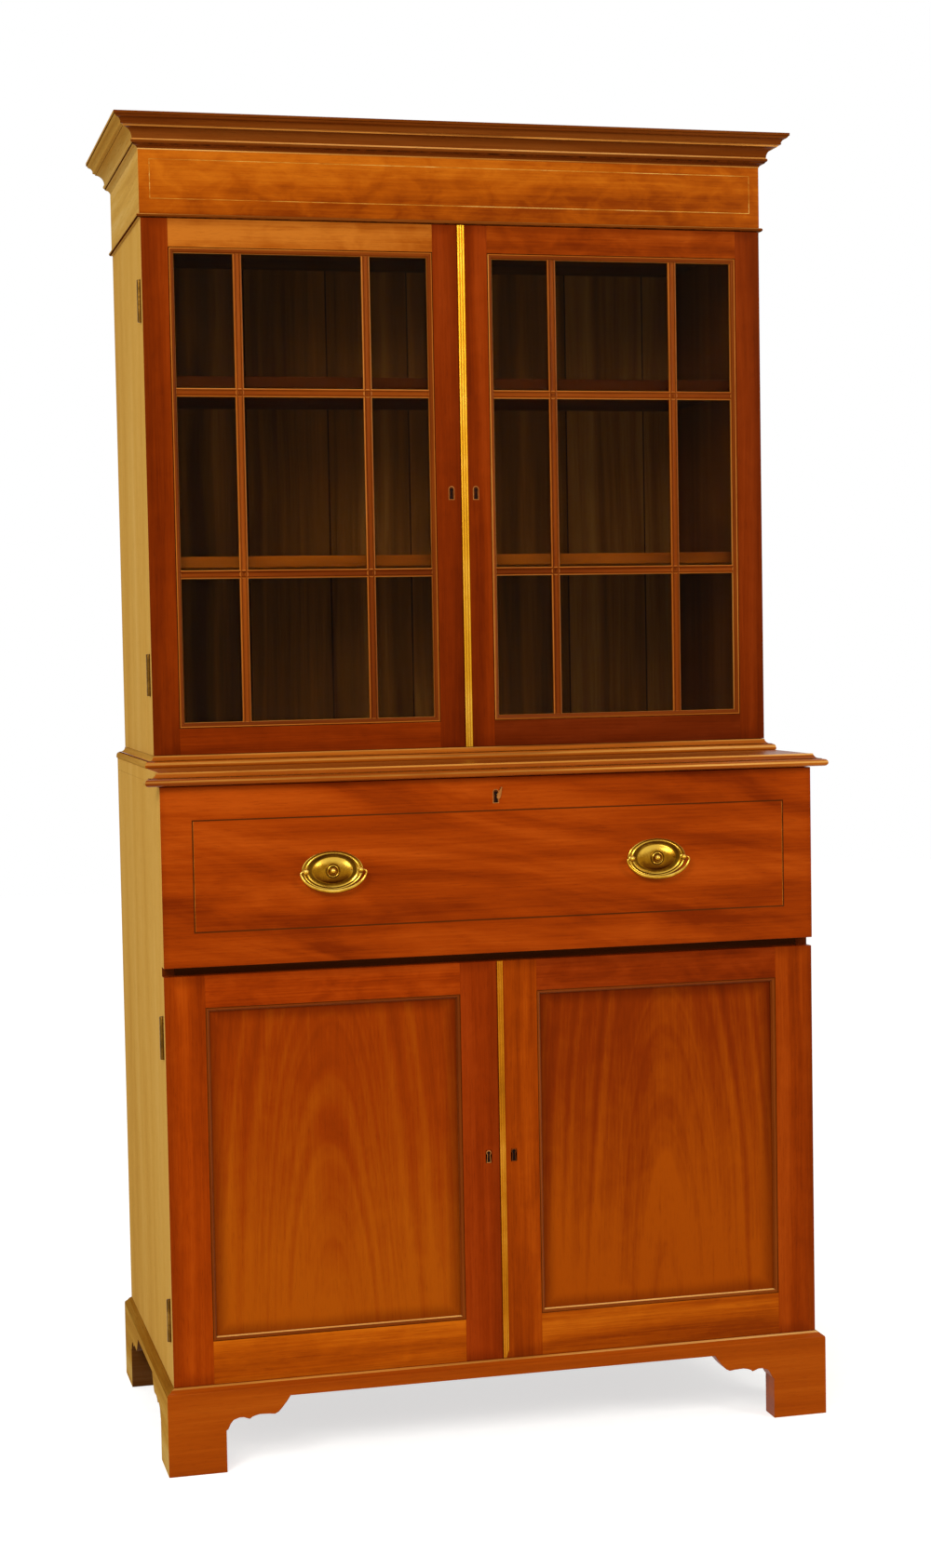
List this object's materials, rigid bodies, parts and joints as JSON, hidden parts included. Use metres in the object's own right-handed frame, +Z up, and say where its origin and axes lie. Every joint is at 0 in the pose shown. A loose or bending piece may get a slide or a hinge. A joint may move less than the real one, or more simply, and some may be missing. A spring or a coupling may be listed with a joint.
{
  "type": "secretaire bookcase",
  "caption": "Secretaire bookcase: glazed doors over shelves, a fall-front writing drawer and panelled cupboard doors on bracket feet.",
  "frame": {"origin": "centre of the footprint on the floor", "axes": "+Z up, +X to the right seen from the front, +Y to the back; the doors face -Y"},
  "size_m": [1.1308, 0.599, 2.14],
  "materials": {
    "front_mahogany": "polished red-brown mahogany",
    "flame_mahogany": "polished figured veneer",
    "dark_mahogany": "polished dark moulding",
    "frieze_veneer": "polished mottled veneer",
    "aged_side_wood": "faded satin polish",
    "inside_wood": "plain unpolished wood",
    "brass": "worn lacquered brass",
    "glass": "clear window glass"
  },
  "bodies": {
    "carcase": {"plinth_front": "dark_mahogany", "plinth_side_right": "dark_mahogany", "plinth_side_left": "dark_mahogany", "lower_side_right": "aged_side_wood", "lower_side_left": "aged_side_wood", "lower_bottom": "inside_wood", "dustboard": "inside_wood", "drawer_runner_right": "inside_wood", "drawer_runner_left": "inside_wood", "cupboard_shelf": "inside_wood", "lower_back": "inside_wood", "lower_top": "aged_side_wood", "top_nosing": "dark_mahogany", "upper_base": "inside_wood", "waist_moulding": "dark_mahogany", "upper_side_right": "aged_side_wood", "upper_side_left": "aged_side_wood", "upper_top": "inside_wood", "upper_back": "inside_wood", "bookshelf_lower": "inside_wood", "bookshelf_upper": "inside_wood", "bead_moulding": "dark_mahogany", "frieze": "frieze_veneer", "cornice": "dark_mahogany", "cornice_top": "inside_wood", "lower_hinge_bottom_right": "brass", "lower_hinge_bottom_left": "brass", "lower_hinge_top_right": "brass", "lower_hinge_top_left": "brass", "upper_hinge_bottom_right": "brass", "upper_hinge_bottom_left": "brass", "upper_hinge_top_right": "brass", "upper_hinge_top_left": "brass"},
    "lower_door_left": {"lower_door_frame_left": "front_mahogany", "lower_door_panel_left": "flame_mahogany"},
    "lower_door_right": {"lower_door_frame_right": "front_mahogany", "lower_door_panel_right": "flame_mahogany", "lower_door_strip": "brass"},
    "upper_door_left": {"upper_door_frame_left": "front_mahogany", "glazing_bars_left": "front_mahogany", "door_glass_left": "glass"},
    "upper_door_right": {"upper_door_frame_right": "front_mahogany", "glazing_bars_right": "front_mahogany", "door_glass_right": "glass", "upper_door_strip": "brass"},
    "drawer": {"drawer_side_right": "inside_wood", "drawer_side_left": "inside_wood", "drawer_bottom": "inside_wood", "drawer_back": "inside_wood", "pigeonholes": "inside_wood", "fall_hinge_right": "brass", "fall_hinge_left": "brass"},
    "fall": {"fall_front": "flame_mahogany", "quadrant_stay_right": "brass", "quadrant_stay_left": "brass", "handle_plate_right": "brass", "handle_plate_left": "brass"},
    "bail_right": {"bail_right": "brass"},
    "bail_left": {"bail_left": "brass"},
    "key_cover": {"key_cover": "brass"}
  },
  "joints": [
    {"name": "lower_door_left_swing", "type": "hinge", "parent": "carcase", "child": "lower_door_left", "pos_m": [-0.5389, -0.2555, 0.4613], "axis": [0, 0, -1], "range_deg": [0, 165]},
    {"name": "lower_door_right_swing", "type": "hinge", "parent": "carcase", "child": "lower_door_right", "pos_m": [0.5389, -0.2555, 0.4613], "axis": [0, 0, 1], "range_deg": [0, 165]},
    {"name": "upper_door_left_swing", "type": "hinge", "parent": "carcase", "child": "upper_door_left", "pos_m": [-0.5249, -0.0863, 1.5515], "axis": [0, 0, -1], "range_deg": [0, 165]},
    {"name": "upper_door_right_swing", "type": "hinge", "parent": "carcase", "child": "upper_door_right", "pos_m": [0.5249, -0.0863, 1.5515], "axis": [0, 0, 1], "range_deg": [0, 165]},
    {"name": "drawer_slide", "type": "slide", "parent": "carcase", "child": "drawer", "axis": [0, -1, 0], "range_m": [0, 0.32]},
    {"name": "fall_drop", "type": "hinge", "parent": "drawer", "child": "fall", "pos_m": [0, -0.2715, 0.802], "axis": [1, 0, 0], "range_deg": [0, 90]},
    {"name": "bail_right_lift", "type": "hinge", "parent": "fall", "child": "bail_right", "pos_m": [0.268, -0.2905, 0.9415], "axis": [-1, 0, 0], "range_deg": [0, 150]},
    {"name": "bail_left_lift", "type": "hinge", "parent": "fall", "child": "bail_left", "pos_m": [-0.268, -0.2905, 0.9415], "axis": [-1, 0, 0], "range_deg": [0, 150]},
    {"name": "key_cover_swing", "type": "hinge", "parent": "fall", "child": "key_cover", "pos_m": [0.009, -0.2798, 1.0635], "axis": [0, 1, 0], "range_deg": [-108, 40]}
  ]
}
